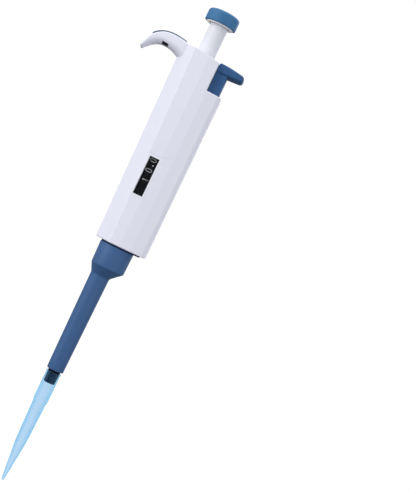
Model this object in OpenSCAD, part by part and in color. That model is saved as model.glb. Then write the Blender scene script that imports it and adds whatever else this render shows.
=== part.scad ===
// Single-channel adjustable-volume air-displacement pipette with a fitted disposable tip.
// Origin: centre of the fitted tip's outlet, on the plunger axis.
// +Z runs up the plunger axis to the push button, +X points to the tip ejector,
// -X to the finger hook, and the counter window faces -Y. Millimetres.

/* [Handle] */
// Height of the casing's lower face
casing_z0 = 156.4; // [150:0.1:165]
// Height of the casing's sloping top on the plunger axis
casing_z1 = 281.8; // [276:0.1:290]
// Fall of the sloping top per millimetre towards the ejector
top_fall = 0.13; // [0:0.01:0.25]
// Casing wall thickness
wall = 1.6; // [1.2:0.1:2.2]
// X of the notch wall beside the ejector button
notch_x = 10.2; // [9:0.1:11]
// Height of the notch's ledge
notch_z = 262.3; // [258:0.1:268]
// Half width of the counter window
window_hw = 2.9; // [2.5:0.1:4]
// Lower edge of the counter window
window_z0 = 189.1; // [187:0.1:191]
// Upper edge of the counter window
window_z1 = 213; // [211:0.1:215]

/* [Finger hook] */
// Half width of the hook where it leaves the casing
hook_root_hw = 7.2; // [5:0.1:9]
// Half width of the hook at its end
hook_end_hw = 4.6; // [3:0.1:7]
// Thickness of the inlaid hook cover
cover_t = 0.8; // [0.5:0.1:1.5]
// Depth of the rail slot in the hook's underside
slot_depth = 2; // [1:0.1:3]

/* [Plunger] */
// Outside radius of the push tube
tube_r = 5.7; // [5:0.05:6]
// Outside radius of the push button
button_r = 10; // [9:0.1:11]
// Lower rim of the push button
button_z0 = 301; // [299:0.1:303]
// Height of the push button
button_h = 9.3; // [8:0.1:11]
// Piston radius, 10 microlitres per 1.4 mm
piston_r = 1.508; // [1.4:0.001:1.7]
// Radial running clearance between sliding or turning parts
run = 0.06; // [0.02:0.01:0.1]

/* [Counter] */
// Outside radius of a number wheel
wheel_r = 8.6; // [8:0.1:8.8]
// Height of a number wheel
wheel_h = 5.6; // [5:0.1:5.9]
// Spacing of the number wheels
wheel_pitch = 6.35; // [6.2:0.05:6.5]
// Middle of the tenths wheel, the topmost
wheel_top_z = 211.6; // [211:0.1:212]

/* [Tip ejector] */
// Press of the ejector button
eject_travel = 10; // [8:0.1:10.5]
// Outside radius of the sleeve's lower end
sleeve_r0 = 5.1; // [4.9:0.05:5.2]
// Outside radius of the sleeve's slim tube at its top
sleeve_r1 = 6.05; // [5.9:0.05:6.3]
// Outside radius of the sleeve's collar
collar_r = 10.7; // [10.5:0.05:11]
// Offset of the collar towards the ejector
collar_x = 2; // [1.5:0.1:2.5]
// Wall thickness of the sleeve
sleeve_wall = 0.9; // [0.8:0.05:1]
// X of the ejector rod
rod_x = 13.7; // [13:0.1:14]
// Radius of the ejector rod
rod_r = 1.75; // [1.5:0.05:2]

/* [Tip] */
// Height of the fitted tip's mouth
tip_h = 71.8; // [70:0.1:73]
// Outside radius of the tip's mouth without ribs
tip_mouth_r = 4.4; // [4.3:0.05:4.6]
// Number of ribs round the tip's mouth
tip_ribs = 16; // [8:1:24]
// Height of the tip core's lower end inside the tip
core_z0 = 64.6; // [62:0.1:66]

/* [Hidden] */
$fn = 64;
eps = 0.01;
far = 100;
casing_h = 125.6;
// Casing facets round +X to the back: [normal's angle, distance below, distance at the top]
half_facets = [
    [0, 20, 20.16],
    [45, 18.85, 19.1],
    [73, 13.6, 13.94],
    [80.8, 12.53, 12.88],
    [90, 12.1, 12.5],
    [138, 10.3, 13.34],
    [180, 12.64, 15.13]
];
facets = concat(
    half_facets,
    [for (i = [5:-1:1]) [360 - half_facets[i][0], half_facets[i][1], half_facets[i][2]]]
);
casing_floor = casing_z0 + 2;
ledge_t = 4;
bore_r = 7.5;
bush_r = 7;
bush_z0 = 274;
roof_z = 276.5;
lens_t = 0.55;
mask_t = 0.7;
neck_r = 7.4;
neck_bore = 5.4;
neck_z0 = 150.2;
plate_t = 3;
frame_z0 = 181;
frame_r = 9.2;
journal_r = 5.5;
journal_z1 = 215.5;
lay_x = 9.29;
lay_y = 6.26;
lay_r = 0.9;
lobe_r = 2.6;
pinion_r = 2.2;
top_plate_z = 222;
bracket_z = 252;
bracket_r = 9.9;
drive_r = 4;
hex_af = 3;
thread_pitch = 1.4;
thread_depth = 0.3;
nut_z = 242;
nut_h = 6;
pin_y = 8.7;
pin_r = 0.9;
spring_seat_z = 138.5;
head_z = 166;
head_top = 180.6;
ball_r = 1.5;
collar_z0 = 141.3;
yoke_z0 = 155.4;
yoke_t = 0.9;
sleeve_z0 = 72.9;
cone_z0 = 135.8;
stem_z0 = 250;
stem_hw = 7.4;
guide_z = 222;
chamber_r = 1.6;
seal_r = 3.28;

// Distance of facet i from the axis at height z, grown by g
function facet_d(i, z, g) =
    facets[i][1] + (facets[i][2] - facets[i][1]) * (z - casing_z0) / casing_h + g;

// Corner between two facets of given normals and distances
function corner(a, da, b, db) = [
    (da * sin(b) - db * sin(a)) / sin(b - a),
    (db * cos(a) - da * cos(b)) / sin(b - a)
];

// Casing outline at height z, grown by g
function outline(z, g) = [
    for (i = [0:len(facets) - 1])
        let (j = (i + 1) % len(facets))
        corner(facets[i][0], facet_d(i, z, g), facets[j][0], facet_d(j, z, g))
];

// Point on a cubic curve through four control points
function cubic(p, t) =
    pow(1 - t, 3) * p[0] + 3 * pow(1 - t, 2) * t * p[1]
    + 3 * (1 - t) * t * t * p[2] + t * t * t * p[3];

function curve(p, n) = [for (i = [0:n]) cubic(p, i / n)];

// Upper and lower edges of the hook in the XZ plane
hook_top = concat(
    curve([[-10, 283.3], [-16, 284.4], [-21, 285.4], [-26, 285.1]], 7),
    curve([[-27.2, 284.9], [-31.5, 283.9], [-35.2, 281], [-36.6, 276.2]], 8)
);
hook_end = curve([[-37.1, 274.4], [-37.9, 272.6], [-39.2, 270.2], [-37.4, 269.9]], 5);
hook_under = concat(
    curve([[-36.6, 270.3], [-34, 273.4], [-30.5, 277.2], [-25.5, 277.4]], 8),
    curve([[-24.3, 277.4], [-20.8, 277.2], [-17.8, 275.9], [-14.6, 273.4]], 6)
);
cover_line = concat(
    curve([[-13.4, 283.95], [-17.5, 284.75], [-21.5, 285.4], [-26, 285.1]], 6),
    curve([[-27.2, 284.9], [-30.5, 284.1], [-33, 282.5], [-34.8, 280.1]], 6)
);

module casing_solid(z0, z1, g) {
    hull() {
        translate([0, 0, z0])
            linear_extrude(eps)
                polygon(outline(z0, g));
        translate([0, 0, z1 - eps])
            linear_extrude(eps)
                polygon(outline(z1, g));
    }
}

// Everything above the sloping top
module above_top() {
    rotate([90, 0, 0])
        linear_extrude(2 * far, center = true)
            polygon([
                [-far, casing_z1 + top_fall * far],
                [far, casing_z1 - top_fall * far],
                [far, casing_z1 + far],
                [-far, casing_z1 + far]
            ]);
}

// Prism of an XZ outline, centred on the XZ plane
module xz_prism(points, w) {
    rotate([90, 0, 0])
        linear_extrude(w, center = true)
            polygon(points);
}

module hook_plan() {
    translate([0, 0, casing_z1 - 20])
        linear_extrude(40)
            polygon([
                [-8, -hook_root_hw],
                [-8, hook_root_hw],
                [-20, hook_root_hw],
                [-30, hook_root_hw - 0.9],
                [-36, hook_end_hw + 0.6],
                [-39, hook_end_hw - 1],
                [-39, 1 - hook_end_hw],
                [-36, -hook_end_hw - 0.6],
                [-30, 0.9 - hook_root_hw],
                [-20, -hook_root_hw]
            ]);
}

module cover_strip(w) {
    under = [for (i = [len(cover_line) - 1:-1:0]) cover_line[i] - [0, cover_t]];
    xz_prism(concat(cover_line, under), w);
}

module casing_cavity() {
    intersection() {
        casing_solid(casing_floor, roof_z, -wall);
        union() {
            translate([-far, -far, casing_floor])
                cube([2 * far, 2 * far, notch_z - ledge_t - casing_floor]);
            translate([-far, -far, casing_floor])
                cube([far + notch_x - wall, 2 * far, roof_z - casing_floor]);
        }
    }
}

module handle_shell() {
    color([0.91, 0.91, 0.95])
        difference() {
            union() {
                difference() {
                    casing_solid(casing_z0, casing_z1 + 6, 0);
                    above_top();
                    translate([notch_x, -far, notch_z])
                        cube([far, 2 * far, far]);
                }
                intersection() {
                    xz_prism(concat([[-10, 274]], hook_top, hook_end, hook_under), 20);
                    hook_plan();
                }
            }
            casing_cavity();
            // rail slot in the hook's underside
            translate([-27.2, -5, 276])
                cube([4, 10, slot_depth + 1.4]);
            cover_strip(2 * hook_end_hw + 1.2);
            // window and its seat
            translate([-window_hw, -far, window_z0])
                cube([2 * window_hw, far - journal_r, window_z1 - window_z0]);
            translate([-window_hw - 0.4, -far, window_z0 - 0.4])
                cube([2 * window_hw + 0.8, far - 11.6, window_z1 - window_z0 + 0.8]);
            // push tube's bush
            translate([0, 0, bush_z0])
                cylinder(r = bush_r, h = far);
            // neck and ejector rod below
            translate([0, 0, casing_z0 - 1])
                cylinder(r = bore_r, h = wall + 3);
            translate([rod_x, 0, casing_z0 - 1])
                cylinder(r = rod_r + run, h = wall + 3);
            // ejector button's well, down to the end of its travel
            translate([notch_x + 0.05, -stem_hw - 0.2, stem_z0 - eject_travel - 1])
                cube([8, 2 * stem_hw + 0.4, notch_z - stem_z0 + eject_travel + 2]);
        }
}

module hook_cover() {
    color([0.36, 0.44, 0.56])
        cover_strip(2 * hook_end_hw + 1.1);
}

module window_lens() {
    color([0.75, 0.8, 0.85, 0.4])
        translate([-window_hw - 0.35, -11.6 - lens_t, window_z0 - 0.35])
            cube([2 * window_hw + 0.7, lens_t, window_z1 - window_z0 + 0.7]);
}

module window_mask() {
    color([0.04, 0.04, 0.05])
        difference() {
            translate([-window_hw - 0.2, -10.1, window_z0 - 2.6])
                cube([2 * window_hw + 3.6, mask_t, window_z1 - window_z0 + 5.4]);
            translate([-window_hw - 1, -far, window_z0 - 0.1])
                cube([2 * window_hw + 1.1, 2 * far, window_z1 - window_z0 + 0.2]);
        }
}

module top_bush() {
    color([0.85, 0.85, 0.88])
        difference() {
            union() {
                translate([0, 0, bush_z0])
                    cylinder(r = bush_r, h = casing_z1 - bush_z0 + 5);
                translate([0, 0, bush_z0 - 1.2])
                    cylinder(r = bush_r + 0.5, h = 1.2);
            }
            above_top();
            translate([0, 0, bush_z0 - 2])
                cylinder(r = tube_r + run, h = far);
        }
}

module neck_socket() {
    color([0.2, 0.21, 0.23])
        difference() {
            union() {
                translate([0, 0, neck_z0])
                    cylinder(r = neck_r, h = frame_z0 - neck_z0);
                translate([0, 0, casing_floor])
                    cylinder(r = neck_r + 1.2, h = 2.6);
            }
            translate([0, 0, neck_z0 - 1])
                cylinder(r = neck_bore, h = frame_z0 - neck_z0 + 2);
        }
}

// Plate carrying the counter's shafts
module shaft_plate(hole) {
    difference() {
        union() {
            cylinder(r = frame_r, h = plate_t);
            for (s = [-1, 1])
                translate([lay_x, s * lay_y, 0])
                    cylinder(r = lobe_r, h = plate_t);
        }
        translate([0, 0, -1])
            cylinder(r = hole, h = plate_t + 2);
        for (s = [-1, 1])
            translate([lay_x, s * lay_y, -1])
                cylinder(r = lay_r, h = plate_t + 2);
    }
}

module counter_frame() {
    color([0.25, 0.26, 0.28]) {
        translate([0, 0, frame_z0])
            shaft_plate(drive_r + run);
        translate([0, 0, frame_z0 + plate_t])
            difference() {
                cylinder(r = journal_r, h = journal_z1 - frame_z0 - plate_t);
                translate([0, 0, -1])
                    cylinder(r = journal_r - 0.9, h = journal_z1 - frame_z0 + 1);
            }
    }
}

module counter_top_plate() {
    color([0.25, 0.26, 0.28])
        translate([0, 0, top_plate_z])
            shaft_plate(drive_r + run);
}

module counter_post() {
    color([0.72, 0.73, 0.75])
        translate([lay_x, -lay_y, frame_z0])
            cylinder(r = lay_r, h = top_plate_z + plate_t - frame_z0);
}

module counter_shaft() {
    color([0.72, 0.73, 0.75])
        translate([lay_x, lay_y, frame_z0])
            cylinder(r = lay_r, h = top_plate_z + plate_t - frame_z0);
}

module wheel_spacers() {
    color([0.05, 0.05, 0.06])
        for (i = [0:4])
            translate([0, 0, wheel_top_z + (0.5 - i) * wheel_pitch - 0.25])
                difference() {
                    cylinder(r = wheel_r - 0.4, h = 0.5);
                    translate([0, 0, -1])
                        cylinder(r = journal_r, h = 3);
                }
}

module guide_pins() {
    color([0.72, 0.73, 0.75])
        for (s = [-1, 1])
            translate([0, s * pin_y, top_plate_z + plate_t])
                cylinder(r = pin_r, h = bracket_z - top_plate_z - plate_t);
}

module upper_bracket() {
    color([0.25, 0.26, 0.28])
        translate([0, 0, bracket_z])
            difference() {
                cylinder(r = bracket_r, h = plate_t);
                translate([0, 0, -1])
                    cylinder(r = hex_af / 2 + 0.6, h = plate_t + 2);
                translate([notch_x - 0.2, -far, -1])
                    cube([far, 2 * far, plate_t + 2]);
            }
}

module ejector_guide() {
    color([0.25, 0.26, 0.28])
        translate([0, 0, guide_z])
            difference() {
                translate([rod_x - 2.3, -6, 0])
                    cube([6.8, 12, plate_t]);
                translate([rod_x, 0, -1])
                    cylinder(r = rod_r + run, h = plate_t + 2);
                for (s = [-1, 1])
                    translate([lay_x, s * lay_y, -1])
                        cylinder(r = lobe_r + 0.2, h = plate_t + 2);
            }
}

module tip_core() {
    color([0.04, 0.04, 0.045])
        rotate_extrude()
            polygon([
                [0.6, core_z0],
                [3.3, core_z0],
                [3.56, core_z0 + 0.4],
                [3.84, tip_h],
                [3.9, tip_h + 4],
                [4.85, cone_z0],
                [5.2, cone_z0 + 1],
                [6.5, cone_z0 + 4.4],
                [6.5, neck_z0 - 1.6],
                [6.1, neck_z0 - 0.2],
                [5.34, neck_z0 - 0.2],
                [5.34, neck_z0 + 9.4],
                [5, neck_z0 + 9.8],
                [4.4, neck_z0 + 9.8],
                [4.4, spring_seat_z - 1.5],
                [3.3, spring_seat_z - 1.5],
                [3.3, 126],
                [chamber_r, 126],
                [chamber_r, 95],
                [0.6, 93.5]
            ]);
}

// Flat ring between two radii
module ring(r_in, r_out, z, h) {
    translate([0, 0, z])
        difference() {
            cylinder(r = r_out, h = h);
            translate([0, 0, -1])
                cylinder(r = r_in, h = h + 2);
        }
}

module piston_seal() {
    color([0.93, 0.93, 0.9])
        ring(piston_r + run / 2, seal_r, 126, 3);
}

module seal_ring() {
    color([0.12, 0.12, 0.13])
        translate([0, 0, 129.62])
            rotate_extrude()
                translate([2.16, 0])
                    circle(r = 0.6);
}

module seal_retainer() {
    color([0.8, 0.8, 0.82]) {
        ring(chamber_r + 0.1, seal_r, 130.24, spring_seat_z - 1.5 - 130.24);
        ring(chamber_r + 0.1, 4.3, spring_seat_z - 1.5, 1.5);
    }
}

// Round-wire compression spring between two heights
module coil(z0, z1, r, wire, turns) {
    sides = 6;
    steps = 16;
    n = turns * steps;
    pts = [
        for (i = [0:n])
            let (a = 360 * i / steps, z = z0 + wire + (z1 - z0 - 2 * wire) * i / n)
            for (k = [0:sides - 1])
                let (b = 360 * k / sides, q = r + wire * cos(b))
                [q * cos(a), q * sin(a), z + wire * sin(b)]
    ];
    skin = [
        for (i = [0:n - 1])
            for (k = [0:sides - 1])
                let (m = (k + 1) % sides)
                [i * sides + k, i * sides + m, (i + 1) * sides + m, (i + 1) * sides + k]
    ];
    low_end = [[for (k = [sides - 1:-1:0]) k]];
    high_end = [[for (k = [0:sides - 1]) n * sides + k]];
    polyhedron(points = pts, faces = concat(skin, low_end, high_end), convexity = 10);
}

module return_spring() {
    color([0.75, 0.76, 0.78])
        coil(spring_seat_z, head_z, 3.6, 0.4, 9);
}

module piston() {
    color([0.85, 0.86, 0.88]) {
        translate([0, 0, 118])
            cylinder(r = piston_r, h = head_z - 118);
        translate([0, 0, 117.6])
            cylinder(r1 = piston_r - 0.3, r2 = piston_r, h = 0.4);
    }
}

module piston_head() {
    color([0.3, 0.31, 0.33])
        difference() {
            union() {
                translate([0, 0, head_z])
                    cylinder(r = 4.2, h = 3);
                translate([0, 0, head_z + 3])
                    cylinder(r = 2.8, h = head_top - head_z - 3);
            }
            translate([0, 0, head_top - 2 * ball_r])
                cylinder(r = ball_r + 0.4, h = 5);
        }
}

module thrust_ball() {
    color([0.8, 0.8, 0.82])
        translate([0, 0, head_top - ball_r])
            sphere(r = ball_r);
}

module button_cap() {
    color([0.22, 0.44, 0.63])
        rotate_extrude()
            polygon([
                [button_r - 0.9, button_z0],
                [button_r - 0.45, button_z0],
                [button_r, button_z0 + 0.5],
                [button_r, button_z0 + button_h - 2.2],
                [button_r - 0.25, button_z0 + button_h - 1.3],
                [button_r - 0.9, button_z0 + button_h - 0.65],
                [button_r - 2, button_z0 + button_h - 0.35],
                [4, button_z0 + button_h - 0.08],
                [0, button_z0 + button_h],
                [0, button_z0 + button_h - 2],
                [button_r - 0.9, button_z0 + button_h - 2]
            ]);
}

module button_liner() {
    color([0.93, 0.93, 0.96])
        rotate_extrude()
            polygon([
                [7.7, button_z0 - 0.3],
                [8.9, button_z0 - 0.3],
                [button_r - 0.95, button_z0],
                [button_r - 0.95, button_z0 + button_h - 2.05],
                [0, button_z0 + button_h - 2.05],
                [0, button_z0 + 5],
                [7.7, button_z0 + 5]
            ]);
}

module push_tube() {
    color([0.93, 0.93, 0.96])
        ring(tube_r - 1.35, tube_r, 272, button_z0 + 5 - 272);
}

module drive_rod() {
    color([0.75, 0.76, 0.78])
        translate([0, 0, head_top + 0.05])
            cylinder(r = hex_af / sqrt(3), h = button_z0 + 4.95 - head_top, $fn = 6);
}

module drive_sleeve() {
    teeth = floor((bracket_z - 1 - 226) / thread_pitch);
    color([0.82, 0.66, 0.32])
        difference() {
            union() {
                translate([0, 0, frame_z0 + 0.1])
                    cylinder(r = drive_r, h = bracket_z - frame_z0 - 0.2);
                translate([0, 0, 217])
                    cylinder(r = wheel_r - 0.2, h = 3);
            }
            for (i = [0:teeth - 1])
                translate([0, 0, 226 + i * thread_pitch])
                    rotate_extrude()
                        polygon([
                            [drive_r + 0.2, 0],
                            [drive_r + 0.2, thread_pitch * 0.8],
                            [drive_r - thread_depth, thread_pitch * 0.4]
                        ]);
            translate([0, 0, frame_z0 - 1])
                cylinder(r = (hex_af + 2 * run) / sqrt(3), h = far, $fn = 6);
        }
}

module stop_nut() {
    color([0.9, 0.9, 0.92])
        translate([0, 0, nut_z])
            difference() {
                union() {
                    cylinder(r = 7.2, h = nut_h);
                    for (s = [-1, 1])
                        translate([0, s * pin_y, 0])
                            cylinder(r = 1.7, h = nut_h);
                }
                translate([0, 0, -1])
                    cylinder(r = drive_r + run, h = nut_h + 2);
                for (s = [-1, 1])
                    translate([0, s * pin_y, -1])
                        cylinder(r = pin_r + run, h = nut_h + 2);
            }
}

// Number wheel i down from the tenths wheel
module number_wheel(i) {
    color([0.05, 0.05, 0.06])
        translate([0, 0, wheel_top_z - i * wheel_pitch - wheel_h / 2])
            difference() {
                cylinder(r = wheel_r, h = wheel_h);
                translate([0, 0, -1])
                    cylinder(r = journal_r + run, h = wheel_h + 2);
                for (z = [-1, wheel_h - 1])
                    translate([0, 0, z])
                        difference() {
                            cylinder(r = wheel_r - 1, h = 2);
                            translate([0, 0, -1])
                                cylinder(r = journal_r + 0.9, h = 4);
                        }
            }
}

module wheel_tenths() {
    number_wheel(0);
}

module wheel_units() {
    number_wheel(1);
}

module wheel_tens() {
    number_wheel(2);
}

module wheel_hundreds() {
    number_wheel(3);
}

// Carry pinion between wheel i and the wheel below it
module carry_pinion(i) {
    notches = 8;
    color([0.88, 0.88, 0.85])
        translate([lay_x, lay_y, wheel_top_z - (i + 0.5) * wheel_pitch - 2])
            difference() {
                cylinder(r = pinion_r, h = 4);
                translate([0, 0, -1])
                    cylinder(r = lay_r + run, h = 6);
                for (k = [0:notches - 1])
                    rotate([0, 0, k * 360 / notches])
                        translate([pinion_r, 0, -1])
                            cylinder(r = 0.45, h = 6);
            }
}

module pinion_upper() {
    carry_pinion(0);
}

module pinion_middle() {
    carry_pinion(1);
}

module pinion_lower() {
    carry_pinion(2);
}

module ejector_button() {
    x0 = notch_x + 0.2;
    x1 = 18;
    color([0.25, 0.39, 0.57])
        difference() {
            intersection() {
                xz_prism(concat(
                    [[x0, stem_z0], [x1, stem_z0], [x1, 275.2], [x1 + 0.6, 275.8]],
                    curve([[25.8, 275.6], [27.3, 275.7], [27.7, 276.8], [27.4, 278.2]], 6),
                    curve([[26.6, 279.5], [24, 280.1], [18, 280.6], [12.5, 280.9]], 5),
                    curve([[11.6, 280.9], [x0 + 0.3, 280.9], [x0, 280.3], [x0, 279.3]], 4)
                ), 17);
                union() {
                    translate([x0, -stem_hw, stem_z0])
                        cube([x1 - x0, 2 * stem_hw, 25]);
                    translate([0, 0, 274.5])
                        linear_extrude(10)
                            polygon([
                                [x0, -8.5],
                                [20, -8.5],
                                [25.4, -7.9],
                                [27.5, -6.2],
                                [27.5, 6.2],
                                [25.4, 7.9],
                                [20, 8.5],
                                [x0, 8.5]
                            ]);
                }
            }
            translate([rod_x, 0, stem_z0 - 1])
                cylinder(r = rod_r, h = 7);
        }
}

module ejector_rod() {
    color([0.75, 0.76, 0.78])
        translate([rod_x, 0, yoke_z0])
            cylinder(r = rod_r, h = stem_z0 + 6 - yoke_z0);
}

module ejector_yoke() {
    color([0.1, 0.1, 0.11])
        translate([0, 0, yoke_z0])
            difference() {
                union() {
                    translate([collar_x, 0, 0])
                        cylinder(r = collar_r - 0.2, h = yoke_t);
                    translate([collar_x, -2.9, 0])
                        cube([rod_x - collar_x, 5.8, yoke_t]);
                    translate([rod_x, 0, 0])
                        cylinder(r = 2.9, h = yoke_t);
                }
                translate([0, 0, -1])
                    cylinder(r = neck_r + 0.2, h = 3);
                translate([rod_x, 0, -1])
                    cylinder(r = rod_r, h = 3);
            }
}

// Slim tube, offset cone and collar, inset by g
module sleeve_solid(g, z0, z1) {
    translate([0, 0, z0])
        cylinder(r1 = sleeve_r0 - g, r2 = sleeve_r1 - g, h = cone_z0 - z0);
    hull() {
        translate([0, 0, cone_z0])
            cylinder(r = sleeve_r1 - g, h = eps, $fn = 96);
        translate([collar_x, 0, collar_z0 - eps])
            cylinder(r = collar_r - g, h = eps, $fn = 96);
    }
    translate([collar_x, 0, collar_z0])
        cylinder(r = collar_r - g, h = z1 - collar_z0);
}

module ejector_sleeve() {
    color([0.24, 0.38, 0.55])
        difference() {
            sleeve_solid(0, sleeve_z0, yoke_z0);
            sleeve_solid(sleeve_wall, sleeve_z0 - eps, yoke_z0 + 1);
        }
}

module ejector_spring() {
    color([0.75, 0.76, 0.78])
        translate([rod_x, 0, 0])
            coil(guide_z + plate_t, stem_z0, 2.6, 0.35, 9);
}

module disposable_tip() {
    rib_z0 = 51.9;
    color([0.56, 0.8, 0.95, 0.7]) {
        rotate_extrude()
            polygon([
                [0.36, 0],
                [0.72, 0],
                [0.98, 1.8],
                [1.75, 9],
                [2.38, 16.2],
                [3.12, 23.2],
                [3.42, 27],
                [3.55, 31],
                [4, 48],
                [4.05, rib_z0 - 0.4],
                [tip_mouth_r - 0.1, rib_z0],
                [tip_mouth_r, tip_h - 1.2],
                [4.75, tip_h - 1],
                [4.75, tip_h - 0.2],
                [4.6, tip_h],
                [4.1, tip_h],
                [3.9, tip_h - 0.5],
                [3.62, core_z0 - 0.6],
                [3.45, core_z0 - 4],
                [3.15, 31],
                [2.7, 23.2],
                [1.95, 16.2],
                [1.3, 9],
                [0.5, 1.8]
            ]);
        intersection() {
            ring(tip_mouth_r - 0.15, 4.7, rib_z0 + 0.4, tip_h - 1 - rib_z0 - 0.4);
            for (i = [0:tip_ribs - 1])
                rotate([0, 0, i * 360 / tip_ribs])
                    translate([0, -0.28, rib_z0])
                        cube([5, 0.56, tip_h - rib_z0]);
        }
    }
}

handle_shell();
hook_cover();
window_lens();
window_mask();
top_bush();
neck_socket();
counter_frame();
counter_top_plate();
counter_post();
counter_shaft();
wheel_spacers();
guide_pins();
upper_bracket();
ejector_guide();
tip_core();
piston_seal();
seal_ring();
seal_retainer();
return_spring();
piston();
piston_head();
thrust_ball();
button_cap();
button_liner();
push_tube();
drive_rod();
drive_sleeve();
stop_nut();
wheel_tenths();
wheel_units();
wheel_tens();
wheel_hundreds();
pinion_upper();
pinion_middle();
pinion_lower();
ejector_button();
ejector_rod();
ejector_yoke();
ejector_sleeve();
ejector_spring();
disposable_tip();
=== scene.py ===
import math

import bmesh
import bpy
from mathutils import Matrix, Vector


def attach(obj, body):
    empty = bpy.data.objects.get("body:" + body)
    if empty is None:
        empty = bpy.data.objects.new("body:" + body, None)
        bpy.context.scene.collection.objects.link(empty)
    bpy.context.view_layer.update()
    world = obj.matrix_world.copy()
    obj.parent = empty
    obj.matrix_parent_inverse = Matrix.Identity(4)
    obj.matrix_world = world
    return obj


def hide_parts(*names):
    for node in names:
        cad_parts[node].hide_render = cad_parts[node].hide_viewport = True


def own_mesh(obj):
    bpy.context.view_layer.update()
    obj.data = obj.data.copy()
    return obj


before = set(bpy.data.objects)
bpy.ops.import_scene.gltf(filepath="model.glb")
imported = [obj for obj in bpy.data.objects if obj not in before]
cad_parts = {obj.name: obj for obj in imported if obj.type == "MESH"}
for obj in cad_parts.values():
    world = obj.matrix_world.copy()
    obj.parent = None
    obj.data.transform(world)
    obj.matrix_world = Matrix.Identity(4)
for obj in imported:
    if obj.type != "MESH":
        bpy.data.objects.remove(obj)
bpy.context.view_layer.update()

MM = 0.001


# ---------------------------------------------------------------- geometry helpers
def mesh_object(name, verts, faces, sharp=35.0):
    """A mesh object from millimetre points, smooth apart from edges sharper than the limit."""
    mesh = bpy.data.meshes.new(name)
    mesh.from_pydata([[c * MM for c in v] for v in verts], [], faces)
    obj = bpy.data.objects.new(name, mesh)
    bpy.context.scene.collection.objects.link(obj)
    tidy_mesh(obj, sharp)
    return obj


def tidy_mesh(obj, sharp=35.0, weld=2e-6):
    """Welds doubles, turns the faces outward and marks edges sharper than the limit."""
    bm = bmesh.new()
    bm.from_mesh(obj.data)
    bmesh.ops.remove_doubles(bm, verts=bm.verts, dist=weld)
    bmesh.ops.dissolve_degenerate(bm, edges=bm.edges, dist=1e-7)
    bmesh.ops.recalc_face_normals(bm, faces=bm.faces)
    limit = math.radians(sharp)
    for f in bm.faces:
        f.smooth = True
    for e in bm.edges:
        e.smooth = len(e.link_faces) == 2 and e.calc_face_angle(0) < limit
    bm.to_mesh(obj.data)
    bm.free()


def flat_faces_first(obj):
    """Big faces keep their own normal, so that only the rounded corners turn."""
    mod = obj.modifiers.new("weighted", "WEIGHTED_NORMAL")
    mod.weight = 100
    mod.keep_sharp = True


def loft(rings, closed=False):
    """Quads between equal rings of points; the ends are capped unless the rings close on themselves."""
    n = len(rings[0])
    verts = [p for ring in rings for p in ring]
    faces = []
    for i in range(len(rings) if closed else len(rings) - 1):
        a, b = i * n, ((i + 1) % len(rings)) * n
        for k in range(n):
            m = (k + 1) % n
            faces.append((a + k, a + m, b + m, b + k))
    if not closed:
        faces.append(tuple(range(n - 1, -1, -1)))
        faces.append(tuple((len(rings) - 1) * n + k for k in range(n)))
    return verts, faces


def corner_arc(a, p, b, r, seg):
    """Points of the arc of radius r that rounds the corner p between a and b."""
    a, p, b = Vector(a), Vector(p), Vector(b)
    u, v = a - p, b - p
    lu, lv = u.length, v.length
    u, v = u / lu, v / lv
    half = math.acos(max(-1, min(1, u.dot(v)))) / 2
    if r <= 0 or half > math.pi / 2 - 1e-4:
        return [tuple(p)] * (seg + 1)
    t = min(r / math.tan(half), 0.48 * lu, 0.48 * lv)
    c = p + (u + v).normalized() * (t * math.tan(half) / math.sin(half))
    s, e = p + u * t - c, p + v * t - c
    w = math.pi - 2 * half
    out = []
    for k in range(seg + 1):
        f = k / seg
        out.append(tuple(c + (s * math.sin((1 - f) * w) + e * math.sin(f * w)) / math.sin(w)))
    return out


def round_corners(points, radii, seg=5):
    """A closed polygon with its corners rounded, each by an arc of seg + 1 points."""
    n = len(points)
    out = []
    for i, p in enumerate(points):
        r = radii[i] if isinstance(radii, (list, tuple)) else radii
        out += corner_arc(points[i - 1], p, points[(i + 1) % n], r, seg)
    return out


def round_path(points, radii, seg=5):
    """An open line with its inner corners rounded."""
    out = [tuple(points[0])]
    for i in range(1, len(points) - 1):
        r = radii[i - 1] if isinstance(radii, (list, tuple)) else radii
        out += corner_arc(points[i - 1], points[i], points[i + 1], r, seg)
    return out + [tuple(points[-1])]


def revolve(profile, seg=96, radius=None, x=0.0):
    """A closed (r, z) profile turned about a vertical line at x; radius(r, z, angle) may shape it."""
    rings = []
    for k in range(seg):
        a = 2 * math.pi * k / seg
        ring = []
        for r, z in profile:
            q = radius(r, z, a) if radius else r
            ring.append((x + q * math.cos(a), q * math.sin(a), z))
        rings.append(ring)
    return loft(rings, closed=True)


def cubic(p, n):
    """n + 1 points of the Bezier curve with four control points."""
    out = []
    for i in range(n + 1):
        t = i / n
        w = ((1 - t) ** 3, 3 * (1 - t) ** 2 * t, 3 * (1 - t) * t * t, t ** 3)
        out.append(tuple(sum(w[k] * p[k][d] for k in range(4)) for d in range(2)))
    return out


def along(points, n):
    """n + 1 points evenly spaced by length along a line of points."""
    far = [0.0]
    for a, b in zip(points, points[1:]):
        far.append(far[-1] + math.dist(a, b))
    out, k = [], 0
    for i in range(n + 1):
        want = far[-1] * i / n
        while k < len(points) - 2 and far[k + 1] < want:
            k += 1
        f = (want - far[k]) / max(far[k + 1] - far[k], 1e-9)
        out.append(tuple(points[k][d] + f * (points[k + 1][d] - points[k][d]) for d in range(len(points[0]))))
    return out


def table(x, rows):
    """Linear look-up in rows of (x, value), x rising."""
    if x <= rows[0][0]:
        return rows[0][1]
    for (a, va), (b, vb) in zip(rows, rows[1:]):
        if x <= b:
            return va + (vb - va) * (x - a) / (b - a)
    return rows[-1][1]


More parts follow.
